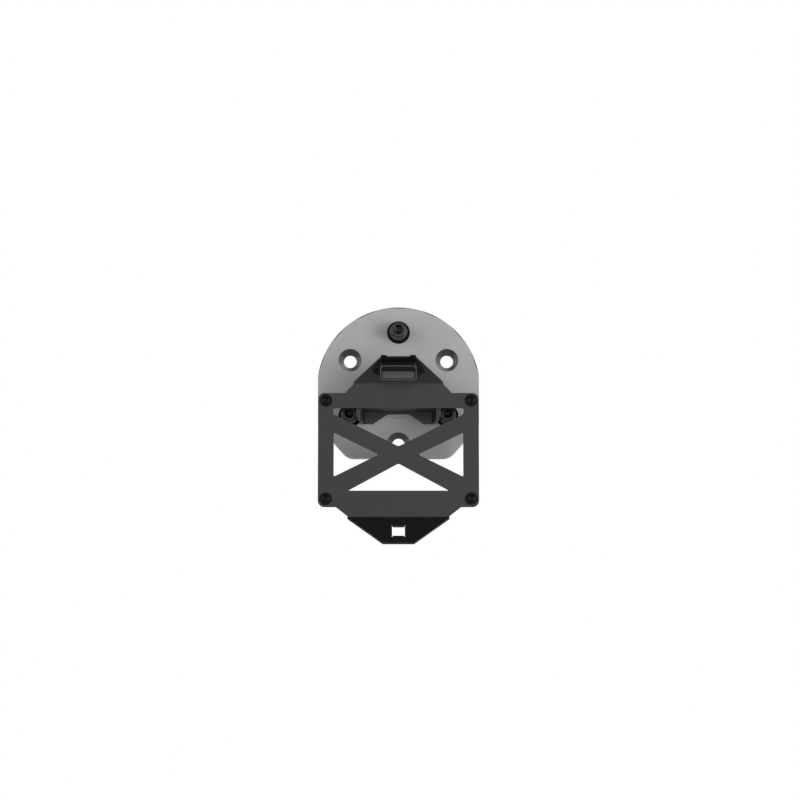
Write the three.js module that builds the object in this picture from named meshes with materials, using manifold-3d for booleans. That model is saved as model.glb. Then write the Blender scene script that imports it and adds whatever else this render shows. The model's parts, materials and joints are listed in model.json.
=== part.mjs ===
// Spare tire carrier: a thick lug plate that bolts against the spare wheel, an offset box of folded sheet,
// and a face plate with an X of cut-outs, two bent flanges and a small lamp.
// Millimetres, +Z up. The wheel lies towards +Y, the face plate towards -Y.
// The origin is the centre of the hub pilot's end face.
import * as THREE from "three";
import { mergeVertices } from "three/addons/utils/BufferGeometryUtils.js";
import Module from "manifold-3d";

const wasm = await Module();
wasm.setup();

// ---- driving dimensions -------------------------------------------------------------------------
const GAP = 0.3; // left between pieces that touch
const SHEET = 3.2; // folded steel sheet

// Lug plate
const PILOT_LENGTH = 6; // how far the hub pilot stands out of the lug plate's back
const LUG_PLATE = {
  radius: 101.6,
  halfWidth: 100.4,
  thickness: 19,
  bottom: -87.7,
  chamferTop: -46.4,
  chamferHalfWidth: 63.7,
  cornerRadius: 9,
};
const PLATE_BACK = -PILOT_LENGTH;
const PLATE_FRONT = PLATE_BACK - LUG_PLATE.thickness;
const PILOT_RADIUS = 38.2;
// shallow bevelled flats along the upper rim: pitch and tilt in degrees
const FACET = { pitch: 24, count: 7, depth: 1.2, tilt: 25 };

// Lug holes and lug bolts
const LUG_CIRCLE_RADIUS = 139.7 / 2;
const LUG_COUNT = 6;
const LUG_HOLE_RADIUS = 8;
const LUG_MOUTH_RADIUS = 14.3;
const LUG_COUNTERBORE = 4; // straight mouth above the cone seat
const CONE_HALF_ANGLE = THREE.MathUtils.degToRad(30);
const CONE_DEPTH = (LUG_MOUTH_RADIUS - LUG_HOLE_RADIUS) / Math.tan(CONE_HALF_ANGLE);
const BOLT = {
  shankRadius: 7,
  headBaseRadius: 11.6,
  headFaceRadius: 10,
  headHeight: 28,
  socketAcross: 9.4,
  socketDepth: 12,
  reach: 26,
};
const BOLTS = [
  { name: "top", angle: 90 },
  { name: "lower_left", angle: 210 },
  { name: "lower_right", angle: 330 },
];

// Face plate
const OFFSET = 50; // clear depth of the offset box
const FACE_BACK = PLATE_FRONT - OFFSET;
const FACE_FRONT = FACE_BACK - SHEET;
const FACE = {
  halfWidth: 98.4,
  top: -12.5,
  bottom: -152.5,
  cornerRadius: 8,
  bendRadius: 3,
};
const TOP_FLANGE = {
  shoulder: 65.4, // half width where the slanted side leaves the plate's top edge
  bendZ: -1.5,
  bendHalf: 55,
  endHalf: 21.3,
  length: 34,
  angle: THREE.MathUtils.degToRad(30),
};
const BOTTOM_FLANGE = {
  shoulder: 76.4,
  bendZ: -163.6,
  bendHalf: 62.3,
  endHalf: 19,
  length: 39.3,
  angle: THREE.MathUtils.degToRad(36),
};
const SQUARE_HOLE = { side: 15.5, distance: 20.7, relief: 1.4, reliefReach: 1.2 };
const PILOT_HOLES = { x: 8.4, distance: 6.5, radius: 0.8 };
const WINDOW_RADIUS = 2.2;
const WINDOWS = {
  top: [[-79.8, -31], [79.8, -31], [79.8, -38.5], [0, -78.1], [-79.8, -38.5]],
  left: [[-79.2, -61.2], [-24.2, -88.2], [-79.2, -115.4]],
  right: [[79.2, -61.2], [79.2, -115.4], [24.2, -88.2]],
  bottom: [[0, -99.1], [61.7, -132.4], [-61.7, -132.4]],
};

// Four corner bolts of the face plate: 7 by 4.75 inches apart
const CORNER = { halfX: 88.9, z: -82, halfZ: 60.3, holeRadius: 3.4 };
const CORNER_BOLT = { shankRadius: 3, headRadius: 5.9, headHeight: 3.4, length: 14, socketAcross: 4 };
const WASHER = { radius: 7.7, thickness: 1.2, holeRadius: 3.3 };
const NUT = { across: 10, thickness: 6 };

// Offset box
const BOX = {
  bottom: -45.6,
  wallTop: -2,
  backHalf: 45.2,
  frontHalf: 50,
  lowerShelf: -30.4,
  webTop: 22,
  webTopHalf: 34,
  notchTop: -33.5,
  notchTopHalf: 13.7,
  notchBottomHalf: 31.8,
};
const WEB_BOLT = { radius: 6.5, height: 4.2, socketAcross: 5, shankRadius: 4, shankLength: 14 };
const WEB_BOLT_PLACES = [
  ["upper_left", -24, 11],
  ["upper_right", 24, 11],
  ["lower_left", -28, -16],
  ["lower_right", 28, -16],
];

// Lamp on the top flange, in the flange's own frame: x across, s up the flange, h out of its face
const LAMP = {
  baseThickness: 2,
  baseBottom: 8.6,
  baseTop: 33.7,
  wing: 31.9,
  wingLow: 15,
  wingHigh: 18.6,
  half: 22,
  earInner: 14.3,
  earOuter: 21.3,
  earHeight: 3.4,
  bodyBottom: 11.6,
  bodyTop: 31.2,
  height: 19.4,
  wall: 2.2,
  windowBottom: 13.2,
  windowTop: 23.2,
  lensInset: 0.5,
};
const LAMP_SCREW = { x: 27.8, s: 16.8, radius: 1.9, height: 1.5, shankRadius: 1.1, holeRadius: 1.4 };

// ---- materials ----------------------------------------------------------------------------------
const finish = (name, color, roughness, metalness) =>
  new THREE.MeshStandardMaterial({ name, color, roughness, metalness });
const LIGHT_PAINT = finish("lug_plate_paint", 0x939393, 0.55, 0.2);
const DARK_PAINT = finish("dark_powder_coat", 0x3a3b3a, 0.6, 0.2);
const BLACK_STEEL = finish("black_oxide_steel", 0x161616, 0.4, 0.8);
const BLACK_PLASTIC = finish("black_plastic", 0x121212, 0.5, 0);
const LENS = finish("lamp_lens", 0x5c5e5e, 0.2, 0);

// ---- solids -------------------------------------------------------------------------------------
// A closed geometry as a solid that can be joined and cut.
function solid(geometry) {
  const bare = geometry.index ? geometry.toNonIndexed() : geometry.clone();
  bare.deleteAttribute("normal");
  bare.deleteAttribute("uv");
  const merged = mergeVertices(bare, 1e-4);
  return new wasm.Manifold(
    new wasm.Mesh({
      numProp: 3,
      vertProperties: merged.attributes.position.array,
      triVerts: new Uint32Array(merged.index.array),
    }),
  );
}

function geometryOf(shape) {
  const mesh = shape.getMesh();
  const geometry = new THREE.BufferGeometry();
  geometry.setAttribute("position", new THREE.BufferAttribute(mesh.vertProperties, 3));
  geometry.setIndex(new THREE.BufferAttribute(mesh.triVerts, 1));
  geometry.computeVertexNormals();
  return geometry;
}

const part = new THREE.Group();

function add(name, shape, material, parent = part) {
  const mesh = new THREE.Mesh(geometryOf(shape), material);
  mesh.name = name;
  parent.add(mesh);
}

// An outline in (x, z) carried along Y from yFrom (low) to yTo (high).
function plate(outline, yFrom, yTo, curveSegments = 8) {
  const geometry = new THREE.ExtrudeGeometry(outline, {
    depth: yTo - yFrom,
    bevelEnabled: false,
    curveSegments,
  });
  geometry.rotateX(Math.PI / 2);
  return solid(geometry.translate(0, yTo, 0));
}

// A polygon whose corners are rounded by quadratic curves that start a tangent length before each corner.
function rounded(points, radius) {
  const outline = new THREE.Shape();
  const corners = points.map(([x, z]) => new THREE.Vector2(x, z));
  corners.forEach((corner, i) => {
    const before = corners.at(i - 1);
    const after = corners[(i + 1) % corners.length];
    const arrive = before.clone().sub(corner).setLength(radius).add(corner);
    const leave = after.clone().sub(corner).setLength(radius).add(corner);
    if (i === 0) outline.moveTo(arrive.x, arrive.y);
    else outline.lineTo(arrive.x, arrive.y);
    outline.quadraticCurveTo(corner.x, corner.y, leave.x, leave.y);
  });
  outline.closePath();
  return outline;
}

const polygon = (points) => new THREE.Shape(points.map(([x, z]) => new THREE.Vector2(x, z)));

// A profile of [radius, y] pairs, listed from low y to high y, turned about the Y axis.
function turned(profile, segments = 32) {
  const points = profile.map(([r, y]) => new THREE.Vector2(r, y));
  return solid(new THREE.LatheGeometry(points, segments));
}

function box(x0, x1, y0, y1, z0, z1) {
  const geometry = new THREE.BoxGeometry(x1 - x0, y1 - y0, z1 - z0);
  return solid(geometry.translate((x0 + x1) / 2, (y0 + y1) / 2, (z0 + z1) / 2));
}

// A hexagonal prism about the Y axis, measured across its flats.
function hexagon(across, yFrom, yTo) {
  const radius = across / Math.sqrt(3);
  const corners = Array.from({ length: 6 }, (_, i) => {
    const angle = (i * Math.PI) / 3;
    return [radius * Math.cos(angle), radius * Math.sin(angle)];
  });
  return plate(polygon(corners), yFrom, yTo);
}

const cutRod = (radius, yFrom, yTo, segments = 32) =>
  turned([[0, yFrom], [radius, yFrom], [radius, yTo], [0, yTo]], segments);

function lugPlace(angle) {
  const turn = THREE.MathUtils.degToRad(angle);
  return [LUG_CIRCLE_RADIUS * Math.cos(turn), LUG_CIRCLE_RADIUS * Math.sin(turn)];
}

// ---- lug plate ----------------------------------------------------------------------------------
function lugPlateOutline() {
  const { radius, halfWidth, bottom, chamferTop, chamferHalfWidth, cornerRadius } = LUG_PLATE;
  const start = Math.acos(halfWidth / radius);
  const slope = new THREE.Vector2(halfWidth - chamferHalfWidth, chamferTop - bottom).setLength(cornerRadius);
  const outline = new THREE.Shape();
  outline.moveTo(-chamferHalfWidth + cornerRadius, bottom);
  outline.lineTo(chamferHalfWidth - cornerRadius, bottom);
  outline.quadraticCurveTo(chamferHalfWidth, bottom, chamferHalfWidth + slope.x, bottom + slope.y);
  outline.lineTo(halfWidth, chamferTop);
  outline.absarc(0, 0, radius, start, Math.PI - start, false);
  outline.lineTo(-halfWidth, chamferTop);
  outline.lineTo(-chamferHalfWidth - slope.x, bottom + slope.y);
  outline.quadraticCurveTo(-chamferHalfWidth, bottom, -chamferHalfWidth + cornerRadius, bottom);
  return outline;
}

// Straight hole, 60 degree cone seat and straight mouth, turned about Y.
function lugHole() {
  const seatTop = PLATE_FRONT + LUG_COUNTERBORE;
  return turned([
    [0, PLATE_FRONT - 1],
    [LUG_MOUTH_RADIUS, PLATE_FRONT - 1],
    [LUG_MOUTH_RADIUS, seatTop],
    [LUG_HOLE_RADIUS, seatTop + CONE_DEPTH],
    [LUG_HOLE_RADIUS, PLATE_BACK + 1],
    [0, PLATE_BACK + 1],
  ]);
}

// A block whose lower face is the bevel's plane through the rim's chord, at an angle from the top.
function facetCutter(degrees) {
  const block = new THREE.BoxGeometry(60, 20, 20).translate(0, 0, 10);
  block.rotateX(THREE.MathUtils.degToRad(90 - FACET.tilt));
  block.translate(0, PLATE_FRONT, LUG_PLATE.radius - FACET.depth);
  return solid(block.rotateY(THREE.MathUtils.degToRad(degrees)));
}

function makeLugPlate() {
  let shape = plate(lugPlateOutline(), PLATE_FRONT, PLATE_BACK, 48);
  for (let i = 0; i < LUG_COUNT; i++) {
    const [x, z] = lugPlace(30 + (i * 360) / LUG_COUNT);
    shape = shape.subtract(lugHole().translate(x, 0, z));
  }
  shape = shape.subtract(cutRod(PILOT_RADIUS, PLATE_FRONT - 1, PLATE_BACK + 1, 64));
  for (let i = 0; i < FACET.count; i++) {
    shape = shape.subtract(facetCutter((i - (FACET.count - 1) / 2) * FACET.pitch));
  }
  for (const [, x, z] of WEB_BOLT_PLACES) {
    shape = shape.subtract(webBoltHole().translate(x, 0, z));
  }
  add("lug_plate", shape, LIGHT_PAINT);
}

// The disc that fills the plate's centre and centres the wheel behind it.
function makeHubPilot() {
  const radius = PILOT_RADIUS - GAP;
  const edge = 1.5;
  let shape = turned(
    [[0, PLATE_FRONT], [radius, PLATE_FRONT], [radius, -edge], [radius - edge, 0], [0, 0]],
    64,
  );
  for (const [, x, z] of WEB_BOLT_PLACES) {
    shape = shape.subtract(webBoltHole().translate(x, 0, z));
  }
  add("hub_pilot", shape, LIGHT_PAINT);
}

// ---- lug bolts and their loose cone collars -----------------------------------------------------
function makeLugBolt({ name, angle }) {
  const [x, z] = lugPlace(angle);
  const seatTop = PLATE_FRONT + LUG_COUNTERBORE;
  const headBase = PLATE_FRONT;
  const headFace = headBase - BOLT.headHeight;
  const edge = 0.8;
  const neck = seatTop - GAP * 2 - 1;
  const bolt = turned([
    [0, headFace],
    [BOLT.headFaceRadius - edge, headFace],
    [BOLT.headFaceRadius, headFace + edge],
    [BOLT.headBaseRadius, headBase],
    [BOLT.headBaseRadius, neck],
    [BOLT.shankRadius, neck],
    [BOLT.shankRadius, BOLT.reach - 2],
    [BOLT.shankRadius - 1.5, BOLT.reach],
    [0, BOLT.reach],
  ]).subtract(hexagon(BOLT.socketAcross, headFace - 1, headFace + BOLT.socketDepth));
  add("lug_bolt_" + name, bolt.translate(x, 0, z), BLACK_STEEL);

  const bore = BOLT.shankRadius + GAP;
  const front = seatTop - 1;
  const outer = LUG_MOUTH_RADIUS - GAP;
  const tip = LUG_HOLE_RADIUS + 1;
  const tipY = seatTop + (outer - tip) / Math.tan(CONE_HALF_ANGLE);
  const collar = turned([
    [outer, front],
    [outer, seatTop],
    [tip, tipY],
    [bore, tipY],
    [bore, front],
    [outer, front],
  ]);
  add("cone_collar_" + name, collar.translate(x, 0, z), BLACK_STEEL);
}

// ---- face plate ---------------------------------------------------------------------------------
// Side profile of the folded sheet in (y, z): flat plate with a flange leaning forward at each end.
function foldedProfile() {
  const inner = FACE.bendRadius;
  const outer = inner + SHEET;
  const steps = 5;
  const front = [];
  const back = [];
  const bend = (flange, up) => {
    const axisY = FACE_FRONT - inner;
    const turn = (i) => (flange.angle * i) / steps;
    for (let i = 0; i <= steps; i++) {
      const c = Math.cos(turn(i));
      const s = Math.sin(turn(i));
      front.push([axisY + inner * c, flange.bendZ + up * inner * s]);
      back.push([axisY + outer * c, flange.bendZ + up * outer * s]);
    }
    const along = [-Math.sin(flange.angle), up * Math.cos(flange.angle)];
    for (const side of [front, back]) {
      const [y, z] = side.at(-1);
      side.push([y + along[0] * flange.length, z + along[1] * flange.length]);
    }
  };
  bend(TOP_FLANGE, 1);
  const topFront = front.splice(0).reverse();
  const topBack = back.splice(0).reverse();
  bend(BOTTOM_FLANGE, -1);
  return [...topFront, ...front, ...back.reverse(), ...topBack.reverse()];
}

// Moves a solid from a flange's own frame (x across, y into the sheet, z along it) to its place on the part.
function onFlange(shape, flange, up) {
  const inner = FACE.bendRadius;
  const y = FACE_FRONT - inner + inner * Math.cos(flange.angle);
  const z = flange.bendZ + up * inner * Math.sin(flange.angle);
  const degrees = THREE.MathUtils.radToDeg(flange.angle) * up;
  return shape.rotate([degrees, 0, 0]).translate(0, y, z);
}

// Wedges that slant a flange's two sides, cut square to the sheet.
function flangeSides(flange, up) {
  const reach = 130;
  const slope = (flange.bendHalf - flange.endHalf) / flange.length;
  const far = flange.length + 20;
  const wedge = (side) =>
    polygon([
      [side * flange.bendHalf, 0],
      [side * (flange.bendHalf - slope * far), up * far],
      [side * reach, up * far],
      [side * reach, 0],
    ]);
  return [-1, 1].map((side) => onFlange(plate(wedge(side), -10, 10), flange, up));
}

// What is left of the flat part after its outline is cut out, between the two bends.
function flatSurround() {
  const { halfWidth, top, bottom, cornerRadius: r } = FACE;
  const outline = new THREE.Shape();
  outline.moveTo(-TOP_FLANGE.bendHalf, TOP_FLANGE.bendZ);
  outline.lineTo(-TOP_FLANGE.shoulder, top);
  outline.lineTo(-halfWidth + r, top);
  outline.absarc(-halfWidth + r, top - r, r, Math.PI / 2, Math.PI, false);
  outline.absarc(-halfWidth + r, bottom + r, r, Math.PI, Math.PI * 1.5, false);
  outline.lineTo(-BOTTOM_FLANGE.shoulder, bottom);
  outline.lineTo(-BOTTOM_FLANGE.bendHalf, BOTTOM_FLANGE.bendZ);
  outline.lineTo(-130, BOTTOM_FLANGE.bendZ);
  outline.lineTo(-130, TOP_FLANGE.bendZ);
  outline.closePath();
  const left = plate(outline, FACE_FRONT - 5, FACE_BACK + 5);
  return [left, left.mirror([1, 0, 0])];
}

function squareHole() {
  const half = SQUARE_HOLE.side / 2;
  let shape = box(-half, half, -10, 10, -half, half);
  for (const x of [-1, 1]) {
    for (const z of [-1, 1]) {
      const place = half + SQUARE_HOLE.reliefReach - SQUARE_HOLE.relief / 2;
      shape = shape.add(cutRod(SQUARE_HOLE.relief, -10, 10, 12).translate(x * place, 0, z * place));
    }
  }
  return shape.translate(0, 0, -SQUARE_HOLE.distance);
}

function cornerPlaces() {
  return [
    ["upper_left", -1, 1],
    ["upper_right", 1, 1],
    ["lower_left", -1, -1],
    ["lower_right", 1, -1],
  ].map(([name, x, z]) => [name, x * CORNER.halfX, CORNER.z + z * CORNER.halfZ]);
}

function makeFacePlate() {
  const width = FACE.halfWidth * 2;
  const strip = new THREE.ExtrudeGeometry(polygon(foldedProfile()), {
    depth: width,
    bevelEnabled: false,
  });
  // the profile's (y, z) plane with its depth along X
  strip.applyMatrix4(new THREE.Matrix4().set(0, 0, 1, -width / 2, 1, 0, 0, 0, 0, 1, 0, 0, 0, 0, 0, 1));
  let shape = solid(strip);
  const low = FACE_FRONT - 60;
  const high = FACE_BACK + 10;
  for (const side of [-1, 1]) {
    const beyond = (half, z0, z1) => {
      const ends = [side * half, side * 130].sort((a, b) => a - b);
      return box(ends[0], ends[1], low, high, z0, z1);
    };
    shape = shape.subtract(beyond(TOP_FLANGE.bendHalf, TOP_FLANGE.bendZ, 60));
    shape = shape.subtract(beyond(BOTTOM_FLANGE.bendHalf, -230, BOTTOM_FLANGE.bendZ));
  }
  const cutters = [
    ...flatSurround(),
    ...flangeSides(TOP_FLANGE, 1),
    ...flangeSides(BOTTOM_FLANGE, -1),
    ...Object.values(WINDOWS).map((w) => plate(rounded(w, WINDOW_RADIUS), FACE_FRONT - 1, FACE_BACK + 1, 4)),
    onFlange(squareHole(), BOTTOM_FLANGE, -1),
  ];
  for (const side of [-1, 1]) {
    const pin = cutRod(PILOT_HOLES.radius, -10, 10, 12);
    cutters.push(onFlange(pin.translate(side * PILOT_HOLES.x, 0, -PILOT_HOLES.distance), BOTTOM_FLANGE, -1));
    const screw = cutRod(LAMP_SCREW.holeRadius, -10, 10, 12);
    cutters.push(onFlange(screw.translate(side * LAMP_SCREW.x, 0, LAMP_SCREW.s), TOP_FLANGE, 1));
  }
  for (const [, x, z] of cornerPlaces()) {
    cutters.push(cutRod(CORNER.holeRadius, FACE_FRONT - 1, FACE_BACK + 1, 24).translate(x, 0, z));
  }
  for (const cutter of cutters) shape = shape.subtract(cutter);
  add("face_plate", shape, DARK_PAINT);
}

// ---- corner bolts, washers and nuts of the face plate -------------------------------------------
function makeCornerFastener([name, x, z]) {
  const washerFace = FACE_FRONT - GAP;
  const washer = turned([
    [WASHER.holeRadius, washerFace - WASHER.thickness],
    [WASHER.radius, washerFace - WASHER.thickness],
    [WASHER.radius, washerFace],
    [WASHER.holeRadius, washerFace],
    [WASHER.holeRadius, washerFace - WASHER.thickness],
  ]);
  add("corner_washer_" + name, washer.translate(x, 0, z), BLACK_STEEL);

  const seat = washerFace - WASHER.thickness - GAP;
  const { shankRadius, headRadius, headHeight, length, socketAcross } = CORNER_BOLT;
  const bolt = turned([
    [0, seat - headHeight],
    [headRadius * 0.55, seat - headHeight],
    [headRadius * 0.86, seat - headHeight * 0.72],
    [headRadius, seat - headHeight * 0.25],
    [headRadius, seat],
    [shankRadius, seat],
    [shankRadius, seat + length],
    [0, seat + length],
  ]).subtract(hexagon(socketAcross, seat - headHeight - 1, seat - headHeight + 2));
  add("corner_bolt_" + name, bolt.translate(x, 0, z), BLACK_STEEL);

  const nutFace = FACE_BACK + GAP;
  const nut = hexagon(NUT.across, nutFace, nutFace + NUT.thickness).subtract(
    cutRod(shankRadius + GAP, nutFace - 1, nutFace + NUT.thickness + 1),
  );
  add("corner_nut_" + name, nut.translate(x, 0, z), BLACK_STEEL);
}

// ---- offset box ---------------------------------------------------------------------------------
const boxBack = PLATE_FRONT - GAP;
const webFront = boxBack - SHEET;
const boxFront = FACE_BACK + GAP;

// The web lies on the lug plate; its lower edge has a notch that leaves the hub's centre in view.
function makeOffsetWeb() {
  const outline = polygon([
    [-BOX.notchBottomHalf, BOX.bottom],
    [-BOX.notchTopHalf, BOX.notchTop],
    [BOX.notchTopHalf, BOX.notchTop],
    [BOX.notchBottomHalf, BOX.bottom],
    [BOX.backHalf - SHEET - GAP, BOX.bottom],
    [BOX.backHalf - SHEET - GAP, BOX.wallTop],
    [BOX.webTopHalf, BOX.webTop],
    [-BOX.webTopHalf, BOX.webTop],
    [-BOX.backHalf + SHEET + GAP, BOX.wallTop],
    [-BOX.backHalf + SHEET + GAP, BOX.bottom],
  ]);
  let shape = plate(outline, webFront, boxBack);
  for (const [, x, z] of WEB_BOLT_PLACES) {
    shape = shape.subtract(webBoltHole().translate(x, 0, z));
  }
  add("offset_web", shape, DARK_PAINT);
}

// Half width of the box's outer face at a depth: it flares from the lug plate to the face plate.
const boxHalf = (y) =>
  BOX.backHalf + ((BOX.frontHalf - BOX.backHalf) * (boxBack - y)) / (boxBack - boxFront);

// An outline in (x, y) carried along Z.
function shelfPlate(points, z0, z1) {
  const geometry = new THREE.ExtrudeGeometry(polygon(points), { depth: z1 - z0, bevelEnabled: false });
  return solid(geometry.translate(0, 0, z0));
}

function makeSideWalls() {
  for (const [name, side] of [["left", -1], ["right", 1]]) {
    const outer = (y) => side * boxHalf(y);
    const inner = (y) => side * (boxHalf(y) - SHEET);
    const points = [
      [outer(boxBack), boxBack],
      [inner(boxBack), boxBack],
      [inner(boxFront), boxFront],
      [outer(boxFront), boxFront],
    ];
    add("side_wall_" + name, shelfPlate(points, BOX.bottom, BOX.wallTop), DARK_PAINT);
  }
}

function makeShelves() {
  const back = webFront - GAP;
  const inside = (y) => boxHalf(y) - SHEET - GAP;
  const points = [
    [-inside(back), back],
    [-inside(boxFront), boxFront],
    [inside(boxFront), boxFront],
    [inside(back), back],
  ];
  add("lower_shelf", shelfPlate(points, BOX.lowerShelf, BOX.lowerShelf + SHEET), DARK_PAINT);
  add("upper_shelf", shelfPlate(points, BOX.wallTop - SHEET - 1, BOX.wallTop - 1), DARK_PAINT);
}

// Clearance for a web bolt's shank, through the web and into the lug plate.
function webBoltHole() {
  const radius = WEB_BOLT.shankRadius + GAP;
  return cutRod(radius, webFront - 1, webFront + WEB_BOLT.shankLength + 1.5, 16);
}

function makeWebBolt([name, x, z]) {
  const seat = webFront - GAP;
  const { radius, height, socketAcross, shankRadius, shankLength } = WEB_BOLT;
  const bolt = turned(
    [
      [0, seat - height],
      [radius * 0.6, seat - height],
      [radius * 0.9, seat - height * 0.7],
      [radius, seat - height * 0.2],
      [radius, seat],
      [shankRadius, seat],
      [shankRadius, seat + shankLength],
      [0, seat + shankLength],
    ],
    24,
  ).subtract(hexagon(socketAcross, seat - height - 1, seat - height + 2.4));
  add("web_bolt_" + name, bolt.translate(x, 0, z), BLACK_STEEL);
}

// ---- lamp on the top flange ---------------------------------------------------------------------
// In the flange's frame the face is at y = 0 and the lamp stands out towards -y.
function makeLamp() {
  const { half, wing, wingLow, wingHigh, baseBottom, baseTop, earInner, earOuter, earHeight } = LAMP;
  const rim = [
    [half, baseBottom],
    [wing, wingLow],
    [wing, wingHigh],
    [earOuter, baseTop],
    [earOuter, baseTop + earHeight],
    [earInner, baseTop + earHeight],
    [earInner, baseTop],
  ];
  const mirrored = rim.map(([x, s]) => [-x, s]).reverse();
  const baseFront = -GAP - LAMP.baseThickness;
  let base = plate(polygon([...rim, ...mirrored]), baseFront, -GAP);
  for (const side of [-1, 1]) {
    const hole = cutRod(LAMP_SCREW.holeRadius, -10, 10, 12);
    base = base.subtract(hole.translate(side * LAMP_SCREW.x, 0, LAMP_SCREW.s));
    const screw = turned(
      [
        [0, baseFront - GAP - LAMP_SCREW.height],
        [LAMP_SCREW.radius * 0.7, baseFront - GAP - LAMP_SCREW.height],
        [LAMP_SCREW.radius, baseFront - GAP - LAMP_SCREW.height * 0.4],
        [LAMP_SCREW.radius, baseFront - GAP],
        [LAMP_SCREW.shankRadius, baseFront - GAP],
        [LAMP_SCREW.shankRadius, SHEET + 2],
        [0, SHEET + 2],
      ],
      16,
    );
    const name = side < 0 ? "lamp_screw_left" : "lamp_screw_right";
    const placed = screw.translate(side * LAMP_SCREW.x, 0, LAMP_SCREW.s);
    add(name, onFlange(placed, TOP_FLANGE, 1), BLACK_STEEL);
  }
  add("lamp_base", onFlange(base, TOP_FLANGE, 1), BLACK_PLASTIC);

  const back = baseFront - GAP;
  const front = -LAMP.height;
  const { bodyBottom: low, bodyTop: high, wall } = LAMP;
  const shell = box(-half, half, front, back, low, high);
  const hollow = box(-half + wall, half - wall, front + wall, back - wall, low - 1, high - wall);
  const { windowBottom, windowTop } = LAMP;
  const opening = box(-half + wall, half - wall, front - 1, front + wall + 1, windowBottom, windowTop);
  const housing = shell.subtract(hollow).subtract(opening);
  add("lamp_housing", onFlange(housing, TOP_FLANGE, 1), BLACK_PLASTIC);
  const lensHalf = half - wall - GAP;
  const lensFront = front + LAMP.lensInset;
  const lensBack = lensFront + wall;
  const lens = box(-lensHalf, lensHalf, lensFront, lensBack, windowBottom + GAP, windowTop - GAP);
  add("lamp_lens", onFlange(lens, TOP_FLANGE, 1), LENS);
}

makeLugPlate();
makeHubPilot();
BOLTS.forEach(makeLugBolt);
makeFacePlate();
cornerPlaces().forEach(makeCornerFastener);
makeOffsetWeb();
makeSideWalls();
makeShelves();
WEB_BOLT_PLACES.forEach(makeWebBolt);
makeLamp();

export default part;
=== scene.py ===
import json
import math
import bmesh
import bpy
import numpy as np
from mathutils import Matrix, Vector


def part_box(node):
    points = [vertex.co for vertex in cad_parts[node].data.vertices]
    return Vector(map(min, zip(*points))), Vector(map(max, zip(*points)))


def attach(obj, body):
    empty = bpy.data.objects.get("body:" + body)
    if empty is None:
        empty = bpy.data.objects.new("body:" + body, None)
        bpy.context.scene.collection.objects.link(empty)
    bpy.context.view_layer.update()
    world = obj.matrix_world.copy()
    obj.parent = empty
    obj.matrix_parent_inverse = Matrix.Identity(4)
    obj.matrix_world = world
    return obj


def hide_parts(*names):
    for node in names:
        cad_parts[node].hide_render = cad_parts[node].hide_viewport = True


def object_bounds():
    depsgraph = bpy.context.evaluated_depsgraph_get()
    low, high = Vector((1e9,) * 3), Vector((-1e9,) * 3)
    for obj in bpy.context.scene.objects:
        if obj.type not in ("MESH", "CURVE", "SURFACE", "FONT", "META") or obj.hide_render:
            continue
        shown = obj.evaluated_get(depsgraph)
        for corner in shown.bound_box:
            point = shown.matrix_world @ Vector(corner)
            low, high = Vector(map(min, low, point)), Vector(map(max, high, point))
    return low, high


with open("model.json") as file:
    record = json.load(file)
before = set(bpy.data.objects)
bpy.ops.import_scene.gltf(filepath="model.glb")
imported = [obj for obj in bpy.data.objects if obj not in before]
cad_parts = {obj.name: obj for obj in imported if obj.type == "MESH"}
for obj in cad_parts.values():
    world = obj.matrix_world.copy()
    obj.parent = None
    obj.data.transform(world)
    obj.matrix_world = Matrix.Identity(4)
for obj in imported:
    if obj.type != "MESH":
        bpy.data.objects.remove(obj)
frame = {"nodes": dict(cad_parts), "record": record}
cad_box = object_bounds()
scene = bpy.context.scene

# ---- Stage -------------------------------------------------------------------------------------
# A pale floor well below the carrier, which in use hangs from the vehicle, and a soft studio sky:
# bright round the horizon and below, dim overhead, so that faces turned upwards read darker.
scene.view_settings.view_transform = "Standard"
FLOOR_BELOW = 0.75
FLOOR_HALF = 3.0
FLOOR_COLOUR = (0.9, 0.9, 0.9, 1.0)


def add_floor():
    """A flat square of four points at one height."""
    height = float(cad_box[0][2]) - FLOOR_BELOW
    signs = ((-1, -1), (1, -1), (1, 1), (-1, 1))
    corners = [(x * FLOOR_HALF, y * FLOOR_HALF, height) for x, y in signs]
    mesh = bpy.data.meshes.new("studio_floor")
    mesh.from_pydata(corners, [], [(0, 1, 2, 3)])
    floor = bpy.data.objects.new("studio_floor", mesh)
    scene.collection.objects.link(floor)
    paint = bpy.data.materials.new("studio_floor")
    paint.use_nodes = True
    shader = paint.node_tree.nodes["Principled BSDF"]
    shader.inputs["Base Color"].default_value = FLOOR_COLOUR
    shader.inputs["Roughness"].default_value = 0.9
    mesh.materials.append(paint)


def add_sky():
    """A ramp over the sine of the elevation: even up to the shoulder, then falling to a dim zenith."""
    world = bpy.data.worlds.new("studio_sky")
    scene.world = world
    world.use_nodes = True
    nodes, links = world.node_tree.nodes, world.node_tree.links
    place = nodes.new("ShaderNodeTexCoord")
    split = nodes.new("ShaderNodeSeparateXYZ")
    ramp = nodes.new("ShaderNodeValToRGB")
    stops = ((0.0, 1.0), (0.34, 1.0), (0.62, 0.06), (1.0, 0.02))
    for position, grey in stops[1:-1]:
        ramp.color_ramp.elements.new(position).color = (grey, grey, grey, 1.0)
    for index in (0, -1):
        grey = stops[index][1]
        ramp.color_ramp.elements[index].color = (grey, grey, grey, 1.0)
    links.new(place.outputs["Generated"], split.inputs[0])
    links.new(split.outputs["Z"], ramp.inputs[0])
    links.new(ramp.outputs["Color"], nodes["Background"].inputs["Color"])
    nodes["Background"].inputs["Strength"].default_value = 1.0


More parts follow.
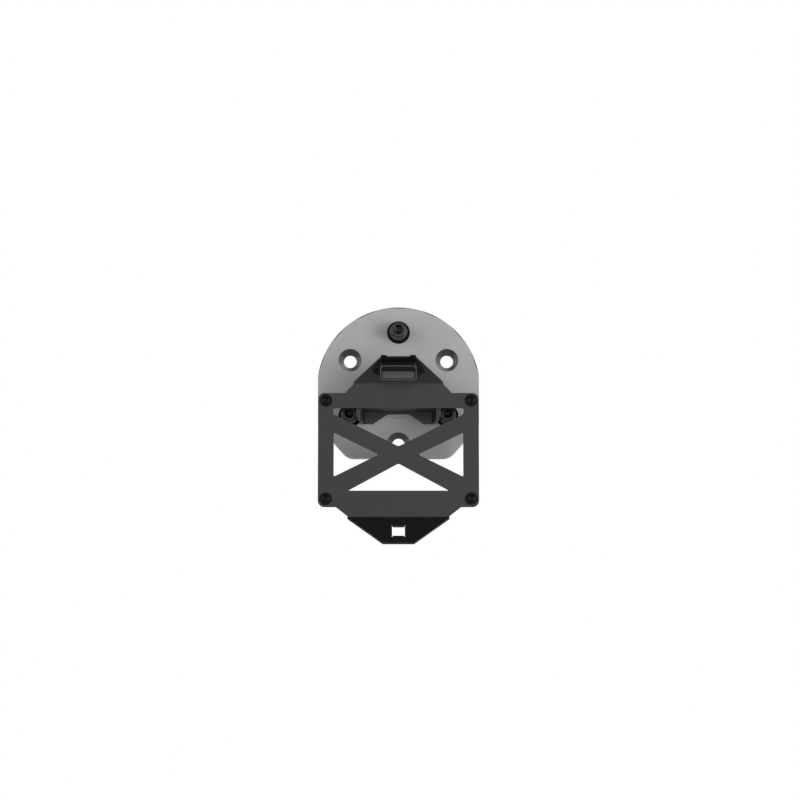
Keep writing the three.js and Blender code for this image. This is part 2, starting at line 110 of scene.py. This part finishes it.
def add_light(name, place, aim, size, power):
    """A square light at a place, aimed at a point: its side in metres, its power in watts."""
    light = bpy.data.lights.new(name, "AREA")
    light.energy = power
    light.size = size
    lamp = bpy.data.objects.new(name, light)
    lamp.location = place
    direction = np.array(aim, float) - np.array(place, float)
    lamp.rotation_euler = Vector(direction).to_track_quat("-Z", "Y").to_euler()
    scene.collection.objects.link(lamp)


add_floor()
add_sky()
CENTRE = (0.0, -0.05, -0.05)
add_light("key_low_right", (1.9, -2.2, -0.25), CENTRE, 1.2, 26.0)
add_light("fill_left", (-2.2, -2.0, 0.5), CENTRE, 1.8, 9.0)
add_light("back_soft", (0.6, 2.4, 1.0), CENTRE, 1.6, 14.0)

# The camera looks along +Y from a little below, three metres away, so that perspective is slight.
CAMERA_DISTANCE = 3.0
CAMERA_RISE = math.radians(6.5)
VIEW_WIDTH = 0.99784
VIEW_CENTRE = (0.0019, -0.025, -0.0151)
camera = bpy.data.objects.new("camera", bpy.data.cameras.new("camera"))
camera.data.sensor_width = 36.0
camera.data.lens = camera.data.sensor_width * CAMERA_DISTANCE / VIEW_WIDTH
camera.data.clip_end = 100.0
camera.location = (
    VIEW_CENTRE[0],
    VIEW_CENTRE[1] - CAMERA_DISTANCE * math.cos(CAMERA_RISE),
    VIEW_CENTRE[2] - CAMERA_DISTANCE * math.sin(CAMERA_RISE),
)
camera.rotation_euler = (math.pi / 2 + CAMERA_RISE, 0.0, 0.0)
scene.collection.objects.link(camera)
scene.camera = camera


# ---- Face plate --------------------------------------------------------------------------------
# Laser-cut 3.2 mm steel sheet with an X of windows and two flanges leaning forward, dark powder coat
# with a fine orange peel. It is welded to the offset box behind it.
class Socket:
    """One output of a material's nodes. Arithmetic on it adds Math nodes."""

    def __init__(self, tree, socket=None):
        self.tree = tree
        self.socket = socket

    def node(self, kind, settings=(), inputs=(), output=0):
        """Adds a node: its settings first (stops are a ramp's), then the value or link of each input."""
        made = self.tree.nodes.new(kind)
        for name, value in dict(settings).items():
            if name == "stops":
                for element, (position, grey) in zip(made.color_ramp.elements, value):
                    element.position = position
                    element.color = (grey, grey, grey, 1.0)
            else:
                setattr(made, name, value)
        for name, value in dict(inputs).items():
            if isinstance(value, Socket):
                self.tree.links.new(value.socket, made.inputs[name])
            else:
                made.inputs[name].default_value = value
        return Socket(self.tree, made.outputs[output])

    def maths(self, operation, first, second):
        return self.node("ShaderNodeMath", {"operation": operation}, {0: first, 1: second})

    def __add__(self, other):
        return self.maths("ADD", self, other)

    __radd__ = __add__

    def __mul__(self, other):
        return self.maths("MULTIPLY", self, other)

    __rmul__ = __mul__

    def __sub__(self, other):
        return self.maths("SUBTRACT", self, other)

    def __rsub__(self, other):
        return self.maths("SUBTRACT", other, self)


def noise(tree, place, scale, detail=3.0, stretch=(1.0, 1.0, 1.0)):
    """Fractal noise over the piece's own coordinates, from 0 to 1, with a number of cells per metre."""
    mapped = tree.node("ShaderNodeMapping", {}, {"Vector": place, "Scale": stretch})
    return tree.node(
        "ShaderNodeTexNoise", {}, {"Vector": mapped, "Scale": scale, "Detail": detail, "Roughness": 0.55}
    )


def finish(name, colour, rough, peel, peel_scale, specular=0.5, worn=None, wear=0.0, coat=0.0,
           swirl=None, fade=None):
    """A coated, bare or moulded surface: slow change of tone, fine grain in roughness and bump, and wear.

    tone = 0.86 + 0.28 * slow noise, darkened upwards between the two heights of fade as painted shade; the
    wear mask is a steep ramp over mixed noise; bump = peel * fine noise.
    """
    material = bpy.data.materials.new(name)
    material.use_nodes = True
    shader = material.node_tree.nodes["Principled BSDF"]
    tree = Socket(material.node_tree)
    place = tree.node("ShaderNodeTexCoord", output="Object")
    stretch = swirl or (1.0, 1.0, 1.0)
    slow = noise(tree, place, 22.0)
    fine = noise(tree, place, peel_scale, 4.0, stretch)
    speck = noise(tree, place, peel_scale * 0.35, 6.0)
    tone = 0.86 + 0.28 * slow
    # With fade, the tone falls off upwards: painted shade, as under the lamp's visor.
    if fade:
        low, high = fade
        height = tree.node("ShaderNodeSeparateXYZ", {}, {"Vector": place}, output=2)
        tone = tone * (1.1 - 0.75 / (high - low) * (height - low))
    black = (0.0, 0.0, 0.0, 1.0)
    toned = tree.node(
        "ShaderNodeMix",
        {"data_type": "RGBA"},
        {0: tone, 6: black, 7: tuple(colour) + (1.0,)},
        output=2,
    )
    mask = tree.node(
        "ShaderNodeValToRGB",
        {"stops": ((0.62 - 0.25 * wear, 0.0), (0.72 - 0.2 * wear, 1.0))},
        {0: speck * 0.75 + slow * 0.25},
    )
    worn_colour = tuple(worn or [c * 1.8 + 0.004 for c in colour]) + (1.0,)
    painted = tree.node(
        "ShaderNodeMix", {"data_type": "RGBA"}, {0: mask, 6: toned, 7: worn_colour}, output=2
    )
    roughness = rough - 0.06 + fine * 0.1 + slow * 0.06 + mask * 0.05
    bump = tree.node("ShaderNodeBump", {}, {"Height": fine, "Strength": 0.35, "Distance": peel})
    for target, value in (("Base Color", painted), ("Roughness", roughness), ("Normal", bump)):
        tree.tree.links.new(value.socket, shader.inputs[target])
    shader.inputs["Specular IOR Level"].default_value = specular
    shader.inputs["Coat Weight"].default_value = coat
    return material


body_of = {node: body for body, nodes in frame["record"]["behaviour"]["bodies"].items() for node in nodes}


def own(piece, node):
    """Makes a piece stand for one solid of the frame: it moves with its body and keeps the finish it was
    given, and the solid is hidden.
    """
    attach(piece, body_of[node])
    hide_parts(node)


def smooth(mesh, degrees=32.0):
    """Smooth shading, with edges sharper than an angle kept crisp."""
    mesh.shade_smooth()
    mesh.set_sharp_from_angle(angle=math.radians(degrees))


def eased_copy(node, edge, materials, segments=2):
    """The node's own solid with its doubles merged and flat faces joined; sharp edges get a small round."""
    mesh = frame["nodes"][node].data.copy()
    mesh.name = node + "_skin"
    work = bmesh.new()
    work.from_mesh(mesh)
    bmesh.ops.remove_doubles(work, verts=work.verts, dist=2e-6)
    bmesh.ops.dissolve_limit(work, angle_limit=math.radians(0.4), verts=work.verts, edges=work.edges)
    work.to_mesh(mesh)
    work.free()
    mesh.materials.clear()
    for material in materials:
        mesh.materials.append(material)
    mesh.polygons.foreach_set("material_index", [0] * len(mesh.polygons))
    smooth(mesh)
    piece = bpy.data.objects.new(node + "_skin", mesh)
    scene.collection.objects.link(piece)
    bevel = piece.modifiers.new("eased_edges", "BEVEL")
    bevel.width = edge
    bevel.segments = segments
    bevel.limit_method = "ANGLE"
    bevel.angle_limit = math.radians(34)
    bevel.harden_normals = False
    bevel.material = len(materials) - 1
    own(piece, node)
    return piece


MM = 0.001
DARK = (0.0062, 0.0064, 0.0062)
dark_coat = finish("dark_powder_coat", DARK, 0.38, 0.00012, 900.0, specular=0.66)
dark_edge = finish(
    "dark_coat_edges", (0.016, 0.016, 0.015), 0.32, 0.0001, 900.0, specular=0.8,
    worn=(0.10, 0.098, 0.094), wear=0.55,
)
eased_copy("face_plate", 0.34 * MM, [dark_coat, dark_edge])


# ---- Lug plate and hub pilot -------------------------------------------------------------------
# A 19 mm plate sawn to a disc with flat sides, its lug holes coned at 60 degrees, in satin light
# grey paint; the pilot is a turned disc pressed into its centre.
LIGHT = (0.42, 0.42, 0.42)
light_paint = finish("lug_plate_paint", LIGHT, 0.52, 0.00008, 1100.0, worn=(0.38, 0.38, 0.38))
light_edge = finish(
    "lug_plate_edges", (0.46, 0.46, 0.46), 0.4, 0.00006, 1100.0, worn=(0.52, 0.52, 0.51), wear=0.4
)
# The lug seats and rim flats are bare faces; their near-black colour is painted shade: the shade inside the
# coned seats and on the rim flats.
bare_with_painted_shade = finish(
    "lug_plate_bare_painted_shade", (0.05, 0.05, 0.05), 0.4, 0.00004, 900.0, specular=0.6, swirl=(1.0, 5.0, 1.0)
)
LUG_CIRCLE = 69.85 * MM
LUG_MOUTH = 14.6 * MM
LUG_ANGLES = np.radians(np.arange(30, 390, 60))
RIM_START = 90 * MM


def mark_bare_shaded_faces(mesh, slot):
    """Marks the faces the paint is masked from, the lug seats and the bevelled flats of the rim; their
    near-black colour is painted shade.
    """
    lugs = [(LUG_CIRCLE * math.cos(a), LUG_CIRCLE * math.sin(a)) for a in LUG_ANGLES]
    for face in mesh.polygons:
        x, _, z = face.center
        near_lug = any(math.hypot(x - a, z - b) < LUG_MOUTH for a, b in lugs)
        seat = near_lug and abs(face.normal.y) < 0.9
        bevel = -0.95 < face.normal.y < -0.85 and math.hypot(x, z) > RIM_START
        if seat or bevel:
            face.material_index = slot


plate = eased_copy("lug_plate", 0.5 * MM, [light_paint, bare_with_painted_shade, light_edge])
mark_bare_shaded_faces(plate.data, 1)
eased_copy("hub_pilot", 0.4 * MM, [light_paint, light_edge])


# ---- Lug bolts and cone collars ----------------------------------------------------------------
# M14 x 1.5 bolts with a tapered round head and a hexagon socket, black oxide; each carries a loose
# cone collar that rests in the plate's seat.
AROUND = 48
THREAD_STEPS = 6


def skin(name, rows, material, node, loop=False):
    """A closed skin over rows of points, each row a ring. A loop joins the last row to the first, as on a
    washer; otherwise the middle of the first and the last ring closes each end."""
    count, columns, _ = rows.shape
    index = np.arange(count * columns).reshape(count, columns)
    low = index if loop else index[:-1]
    high = np.roll(index, -1, axis=0) if loop else index[1:]
    next_low = np.roll(low, -1, axis=1)
    next_high = np.roll(high, -1, axis=1)
    quads = np.stack([low, next_low, next_high, high], axis=-1).reshape(-1, 4).tolist()
    points = rows.reshape(-1, 3)
    if not loop:
        points = np.vstack([points, rows[0].mean(axis=0), rows[-1].mean(axis=0)])
        first, last = len(points) - 2, len(points) - 1
        quads += [(first, b, a) for a, b in zip(index[0], np.roll(index[0], -1))]
        quads += [(last, a, b) for a, b in zip(index[-1], np.roll(index[-1], -1))]
    mesh = bpy.data.meshes.new(name)
    mesh.from_pydata(points.tolist(), [], quads)
    work = bmesh.new()
    work.from_mesh(mesh)
    bmesh.ops.recalc_face_normals(work, faces=work.faces)
    work.to_mesh(mesh)
    work.free()
    smooth(mesh)
    mesh.materials.append(material)
    piece = bpy.data.objects.new(name, mesh)
    scene.collection.objects.link(piece)
    if node:
        own(piece, node)
    return piece


def middle(node):
    """The middle of a node's box, then its low and its high corner."""
    low, high = (np.array(corner, float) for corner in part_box(node))
    return (low + high) / 2, low, high


def hexagon_radius(turn, across):
    """Distance from the centre to a hexagon's side: half the width over cos(angle from the flat)."""
    return across / 2 / np.cos((turn % (math.pi / 3)) - math.pi / 6)


def full_turn(count):
    """The angles of a number of points spaced evenly round a circle."""
    return np.linspace(0, 2 * math.pi, count, endpoint=False)


def bolt_rows(centre, rings):
    """Rings about a line along Y: each is (radius, y), the radius a number or an array over the turn."""
    turn = full_turn(AROUND)
    rows = np.zeros((len(rings), AROUND, 3))
    for row, (radius, y) in zip(rows, rings):
        row[:, 0] = centre[0] + radius * np.cos(turn)
        row[:, 1] = y
        row[:, 2] = centre[2] + radius * np.sin(turn)
    return rows


def thread_rings(radius, start, end, pitch, depth):
    """A helical ridge: radius - depth * |2 * frac(y / pitch - turn) - 1|, faded in over the first turn."""
    turn = np.linspace(0, 1, AROUND, endpoint=False)
    heights = np.linspace(start, end, int(abs(end - start) / pitch * THREAD_STEPS) + 2)
    saw = np.abs(2 * ((heights[:, None] / pitch - turn[None, :]) % 1) - 1)
    fade = np.clip(np.minimum(heights - start, end - heights) / pitch, 0, 1)[:, None]
    return [(ring, y) for ring, y in zip(radius - depth * saw * fade, heights)]


def socket_rings(face, across, depth, mouth):
    """A hexagon socket: a drill point, a floor, six walls and a chamfer up to a round mouth."""
    wall = hexagon_radius(full_turn(AROUND), across)
    floor = face + depth
    return [
        (0.5 * MM, floor + across * 0.18),
        (wall * 0.97, floor),
        (wall, floor - 0.4 * MM),
        (wall, face + 0.9 * MM),
        (mouth, face),
    ]


BLACK_STEEL = (0.0045, 0.0045, 0.0047)
black_steel = finish(
    "black_oxide_steel", BLACK_STEEL, 0.42, 0.00005, 1500.0, specular=0.16,
    worn=(0.03, 0.029, 0.028), wear=0.3,
)
black_turned = finish(
    "black_turned_steel", BLACK_STEEL, 0.3, 0.00005, 700.0, specular=0.6,
    worn=(0.03, 0.03, 0.03), wear=0.25, swirl=(1.0, 6.0, 1.0),
)
LUG_HEAD_BASE = 11.6 * MM
LUG_HEAD_FACE = 10 * MM
LUG_HEAD_HEIGHT = 28 * MM
LUG_SHANK = 7 * MM
LUG_PITCH = 1.5 * MM
LUG_SOCKET = 9.4 * MM
LUG_SOCKET_DEPTH = 12 * MM
LUG_SOCKET_MOUTH = 6.1 * MM
LUG_GROOVES = (0.14, 0.22, 0.30)
COLLAR_BORE = 7.35 * MM
COLLAR_TIP = 9 * MM


def add_lug_bolt(name):
    """Socket, flat annular face, chamfer, a head that widens towards the plate with three turned grooves,
    then a neck and a threaded shank with a chamfered point."""
    node = "lug_bolt_" + name
    centre, low, high = middle(node)
    face = low[1]
    base = face + LUG_HEAD_HEIGHT

    def side(t):
        return LUG_HEAD_FACE + (LUG_HEAD_BASE - LUG_HEAD_FACE) * t

    rings = socket_rings(face, LUG_SOCKET, LUG_SOCKET_DEPTH, LUG_SOCKET_MOUTH)
    rings += [(8.9 * MM, face), (9.1 * MM, face + 0.05 * MM), (side(0.02), face + 0.9 * MM)]
    for step in LUG_GROOVES:
        y = face + LUG_HEAD_HEIGHT * step
        rings += [(side(step), y - 0.45 * MM), (side(step) - 0.35 * MM, y - 0.2 * MM)]
        rings += [(side(step) - 0.35 * MM, y + 0.2 * MM), (side(step), y + 0.45 * MM)]
    neck = base + 2.4 * MM
    tip = high[1]
    rings += [(side(0.85), base - 0.15 * LUG_HEAD_HEIGHT), (side(1.0), base - 0.3 * MM)]
    rings += [(side(1.0), neck - 0.2 * MM), (side(1.0) - 0.3 * MM, neck), (LUG_SHANK, neck)]
    rings += thread_rings(LUG_SHANK, neck + 0.8 * MM, tip - 2.4 * MM, LUG_PITCH, 0.42 * MM)
    rings += [(LUG_SHANK - 0.5 * MM, tip - 2 * MM), (LUG_SHANK - 1.6 * MM, tip), (1 * MM, tip)]
    skin(node + "_turned", bolt_rows(centre, rings), black_turned, node)


def add_collar(name):
    """A loose ring: a flat face, a rim with a small chamfer, a cone towards the plate and a plain bore."""
    node = "cone_collar_" + name
    centre, low, high = middle(node)
    rim, tip, bore = (high[0] - low[0]) / 2, COLLAR_TIP, COLLAR_BORE
    rings = [(bore, low[1] + 0.3 * MM), (bore + 0.3 * MM, low[1]), (rim - 0.4 * MM, low[1])]
    rings += [(rim, low[1] + 0.4 * MM), (rim, low[1] + 1.0 * MM)]
    cone = np.linspace(0, 1, 5)[1:]
    start = low[1] + 1.0 * MM
    rings += [(rim + (tip - rim) * t, start + (high[1] - start) * t) for t in cone]
    rings += [(bore, high[1])]
    skin(node + "_turned", bolt_rows(centre, rings), black_steel, node, loop=True)


for place in ("top", "lower_left", "lower_right"):
    add_lug_bolt(place)
    add_collar(place)


# ---- Corner bolts, washers, nuts and web bolts -------------------------------------------------
# Button-head M6 socket screws through the face plate's corners, on thin washers, with hexagon nuts
# behind. Larger ones, M8, hold the box's web to the lug plate. All are black oxide steel.
def add_button_bolt(node, across, shank, pitch, socket, head):
    """A domed head, r = R cos(t) over a rise H sin(t), with a hexagon socket and a threaded shank. The
    head takes up a share of the whole length."""
    centre, low, high = middle(node)
    radius = (high[0] - low[0]) / 2
    rise = (high[1] - low[1]) * head
    mouth = across * 0.64
    start = math.acos(min(0.99, mouth / radius))
    seat = low[1] + rise
    angles = np.linspace(start, 0, 8)[1:]
    rings = socket_rings(low[1], across, socket, mouth)
    rings += [(radius * math.cos(t), seat - rise * math.sin(t) / math.sin(start)) for t in angles]
    rings += [(radius - 0.3 * MM, seat + 0.3 * MM), (shank, seat + 0.3 * MM)]
    rings += thread_rings(shank, seat + 0.6 * MM, high[1] - 0.8 * MM, pitch, 0.28 * MM)
    rings += [(shank - 0.6 * MM, high[1]), (0.5 * MM, high[1])]
    skin(node + "_turned", bolt_rows(centre, rings), black_steel, node)


def add_washer(node, bore):
    """A flat ring whose four edges are chamfered."""
    centre, low, high = middle(node)
    rim = (high[0] - low[0]) / 2
    ease = 0.25 * MM
    rings = [(bore, low[1] + ease), (bore + ease, low[1]), (rim - ease, low[1]), (rim, low[1] + ease)]
    rings += [(rim, high[1] - ease), (rim - ease, high[1]), (bore + ease, high[1]), (bore, high[1] - ease)]
    skin(node + "_pressed", bolt_rows(centre, rings), black_steel, node, loop=True)


def add_nut(node, across, bore):
    """A hexagon with its corners turned off at both faces, r = min(hexagon, circle), and a chamfered bore."""
    centre, low, high = middle(node)
    flat = hexagon_radius(full_turn(AROUND), across)
    collar = np.minimum(flat, across * 0.52)
    face = across * 0.47
    rings = [(bore, low[1] + 0.4 * MM), (bore + 0.4 * MM, low[1]), (face, low[1])]
    rings += [(collar, low[1] + 0.5 * MM), (flat, low[1] + 0.9 * MM)]
    rings += [(flat, high[1] - 0.9 * MM), (collar, high[1] - 0.5 * MM), (face, high[1])]
    rings += [(bore + 0.4 * MM, high[1]), (bore, high[1] - 0.4 * MM)]
    skin(node + "_hexagon", bolt_rows(centre, rings), black_steel, node, loop=True)


for place in ("upper_left", "upper_right", "lower_left", "lower_right"):
    add_button_bolt("corner_bolt_" + place, 4 * MM, 3 * MM, 1 * MM, 2 * MM, 0.195)
    add_washer("corner_washer_" + place, 3.3 * MM)
    add_nut("corner_nut_" + place, 10 * MM, 3.25 * MM)
    add_button_bolt("web_bolt_" + place, 5 * MM, 4 * MM, 1.25 * MM, 2.4 * MM, 0.23)


# ---- Offset box --------------------------------------------------------------------------------
# A notched web screwed to the lug plate, two flared side walls and two shelves, cut from the same
# sheet, welded together and coated with the face plate.
BOX_NODES = ("offset_web", "side_wall_left", "side_wall_right", "lower_shelf", "upper_shelf")
NO_BEAD_RUNS_THIS_WAY = (0.31, 0.47, 0.83)
RIPPLE_PITCH = 2.1 * MM
BEAD_STEP = 0.45 * MM
for box_node in BOX_NODES:
    eased_copy(box_node, 0.3 * MM, [dark_coat, dark_edge])


def add_weld(name, start, end, radius):
    """A bead from start to end: a tube of radius r (0.82 + 0.18 |sin(pi s / pitch)|) with domed ends."""
    start, end = np.array(start, float), np.array(end, float)
    length = np.linalg.norm(end - start)
    along = (end - start) / length
    side = np.cross(along, NO_BEAD_RUNS_THIS_WAY)
    side /= np.linalg.norm(side)
    up = np.cross(along, side)
    s = np.linspace(0, length, int(length / BEAD_STEP))
    ripple = 0.82 + 0.18 * np.abs(np.sin(math.pi * s / RIPPLE_PITCH))
    from_end = np.clip(1 - np.minimum(s, length - s) / radius, 0, 1)
    dome = np.sqrt(np.clip(1 - from_end ** 2, 0.02, 1))
    turn = full_turn(12)
    ring = np.cos(turn)[:, None] * side + np.sin(turn)[:, None] * up
    rows = start + s[:, None, None] * along + (radius * ripple * dome)[:, None, None] * ring
    bead = skin(name, rows, dark_coat, None)
    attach(bead, body_of["face_plate"])


wall_low, wall_high = (np.array(c, float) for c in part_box("side_wall_right"))
shelf_half = float(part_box("lower_shelf")[1][0])
BEAD = 1.5 * MM
SHELF_BEAD = 1.1 * MM
SHEET = 3.2 * MM
for side, word in ((-1, "left"), (1, "right")):
    front_x, front_y = side * (wall_high[0] + 0.4 * MM), wall_low[1] + 0.4 * MM
    back_x, back_y = side * (wall_low[0] + SHEET + 0.5 * MM), wall_high[1] - 0.5 * MM
    low_z, high_z = wall_low[2] + 3 * MM, wall_high[2] - 3 * MM
    add_weld("weld_front_" + word, (front_x, front_y, low_z), (front_x, front_y, high_z), BEAD)
    add_weld("weld_back_" + word, (back_x, back_y, low_z), (back_x, back_y, high_z), BEAD)
    inner_front = side * (shelf_half + 0.2 * MM)
    inner_back = side * (shelf_half - 3.3 * MM)
    for shelf in ("lower", "upper"):
        shelf_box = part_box(shelf + "_shelf")
        z = float(shelf_box[0][2]) - 0.2 * MM
        y0, y1 = float(shelf_box[0][1]) + 4 * MM, float(shelf_box[1][1]) - 4 * MM
        add_weld(f"weld_{shelf}_{word}", (inner_front, y0, z), (inner_back, y1, z), SHELF_BEAD)


# ---- Lamp --------------------------------------------------------------------------------------
# A small moulded plate lamp on the top flange: base plate with two ears, housing with a visor and
# a fluted lens in the lower half of its face, two cross-recessed screws.
FLANGE_TILT = math.radians(30)
lamp_across = np.array((1.0, 0.0, 0.0))
lamp_up = np.array((0.0, -math.sin(FLANGE_TILT), math.cos(FLANGE_TILT)))
lamp_out = np.array((0.0, -math.cos(FLANGE_TILT), -math.sin(FLANGE_TILT)))
lamp_middle = middle("lamp_housing")[0]
LAMP_HALF = 22 * MM
LAMP_HALF_UP = 9.8 * MM
LAMP_HALF_OUT = 8.4 * MM
plastic = finish("black_plastic", (0.0035, 0.0035, 0.0037), 0.3, 0.00006, 2200.0, specular=0.3)
# The lens colour darkens upwards between these heights: painted shade from the visor and housing above it.
lens_painted_shade_heights = [float(corner[2]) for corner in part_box("lamp_lens")]
lens_with_painted_shade = finish("lamp_lens", (0.085, 0.087, 0.088), 0.16, 0.00002, 300.0, coat=0.4, fade=lens_painted_shade_heights)
# The bead round the lamp's face is paler than the housing: a painted highlight for the glint on the housing's
# rounded front edges.
highlight_bead_paint = finish("lamp_highlight_bead", (0.13, 0.13, 0.13), 0.3, 0.00002, 900.0)


def lamp_point(x, up, out, centre=lamp_middle):
    """From the lamp's own frame to the part's: across, up the flange and out of its face."""
    x, up, out = (np.asarray(v, float)[..., None] for v in (x, up, out))
    return centre + x * lamp_across + up * lamp_up + out * lamp_out


def soft_rectangle(count, power):
    """Points round the superellipse |x|^p + |u|^p = 1: x = sign(cos t) |cos t|^(2/p), u the same of sin."""
    turn = full_turn(count)
    wide = np.sign(np.cos(turn)) * np.abs(np.cos(turn)) ** (2 / power)
    tall = np.sign(np.sin(turn)) * np.abs(np.sin(turn)) ** (2 / power)
    return wide, tall


def add_housing():
    """A box with softened corners, a groove round it, and a face that steps back around the lens: each
    station is half the width, half the height and the distance out."""
    a, b, d = LAMP_HALF, LAMP_HALF_UP, LAMP_HALF_OUT
    groove, lip = 0.5 * MM, 1.2 * MM
    stations = [(a * 0.97, b * 0.96, -d), (a, b, -d + 1 * MM), (a, b, -d + 9 * MM)]
    stations += [(a - groove, b - groove, out) for out in (-d + 9.4 * MM, -d + 10.4 * MM)]
    stations += [(a, b, -d + 10.8 * MM), (a, b, d - 1.6 * MM), (a - 0.6 * MM, b - 0.6 * MM, d - 0.3 * MM)]
    steps = ((lip, d), (lip + 0.5 * MM, d), (lip + 0.9 * MM, d - 1.4 * MM))
    stations += [(a - inset, b - inset, out) for inset, out in steps]
    wide, tall = soft_rectangle(64, 7.0)
    rows = np.array([lamp_point(half * wide, rise * tall, out) for half, rise, out in stations])
    skin("lamp_housing_shell", rows, plastic, "lamp_housing")


def add_lens():
    """A pillow with upright flutes: out = crown (1 - u^2) + flute cos(2 pi x / pitch) (1 - u^6)."""
    x = np.linspace(-1, 1, 129) * (LAMP_HALF - 2.6 * MM)
    u = np.linspace(-1, 1, 15)
    low, high = -LAMP_HALF_UP + 1.9 * MM, 1.5 * MM
    grid_x, grid_u = np.meshgrid(x, u)
    up = (low + high) / 2 + (high - low) / 2 * grid_u
    flutes = 0.16 * MM * np.cos(2 * math.pi * grid_x / (2.4 * MM)) * (1 - grid_u ** 6)
    out = LAMP_HALF_OUT - 0.9 * MM + 0.7 * MM * (1 - grid_u ** 2) + flutes
    face = lamp_point(grid_x, up, out)
    back = lamp_point(grid_x, up, LAMP_HALF_OUT - 1.9 * MM)
    rows = np.concatenate([face, back[:, ::-1]], axis=1)
    skin("lamp_lens_fluted", rows, lens_with_painted_shade, "lamp_lens")


def add_visor():
    """A drip edge moulded above the lens: a bar of oval section that thins at its ends by 1 - s^8."""
    stations = np.linspace(-1, 1, 41)
    turn = full_turn(16)
    size = np.clip(1 - stations ** 8, 0.15, 1)
    x = (stations * (LAMP_HALF - 1.5 * MM))[:, None]
    up = 2.6 * MM + (0.8 * MM * size)[:, None] * np.sin(turn)
    out = LAMP_HALF_OUT - 0.5 * MM + (0.45 * MM * size)[:, None] * np.cos(turn)
    bar = skin("lamp_visor", lamp_point(x, up, out), plastic, None)
    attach(bar, body_of["lamp_housing"])


def add_highlight_bead():
    """A thin paler bead round the face, its pale colour a painted highlight along the housing's front edges:
    a tube of constant radius along a superellipse.
    """
    radius = 0.42 * MM
    wide, tall = soft_rectangle(160, 9.0)
    x = (LAMP_HALF - 0.55 * MM) * wide
    up = (LAMP_HALF_UP - 0.55 * MM) * tall
    path = np.stack([x, up], axis=1)
    step = np.roll(path, -1, axis=0) - np.roll(path, 1, axis=0)
    step /= np.linalg.norm(step, axis=1)[:, None]
    turn = full_turn(10)
    sideways = radius * np.cos(turn)
    ring_x = x[:, None] + step[:, 1:2] * sideways
    ring_up = up[:, None] - step[:, 0:1] * sideways
    out = LAMP_HALF_OUT - 0.25 * MM + radius * np.sin(turn)
    highlight_bead = skin("lamp_highlight_bead", lamp_point(ring_x, ring_up, out), highlight_bead_paint, None, loop=True)
    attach(highlight_bead, body_of["lamp_housing"])


def add_lamp_screw(name):
    """A pan head of height H sqrt(1 - 3/4 r^2), less a cross where |x| or |u| is small, and a shank."""
    node = "lamp_screw_" + name
    radius, rise, length, lift = 1.9 * MM, 1.5 * MM, 7.2 * MM, 3.15 * MM
    turn = full_turn(40)
    rings = []
    for t in np.linspace(0.06, 1, 12):
        arm = np.minimum(np.abs(np.cos(turn)), np.abs(np.sin(turn))) * t
        groove = 0.55 * MM * (arm < 0.16) * (t < 0.72)
        rings.append((t * radius, rise * math.sqrt(1 - 0.75 * t * t) - groove))
    rings += [(radius, 0), (1.1 * MM, 0), (1.1 * MM, -length), (0.3 * MM, -length)]
    across, up = np.cos(turn), np.sin(turn)
    centre = middle(node)[0]
    rows = np.array([lamp_point(r * across, r * up, h + lift, centre) for r, h in rings])
    skin(node + "_pan", rows, black_steel, node)


add_housing()
add_lens()
add_visor()
add_highlight_bead()
add_lamp_screw("left")
add_lamp_screw("right")
eased_copy("lamp_base", 0.3 * MM, [plastic, plastic])
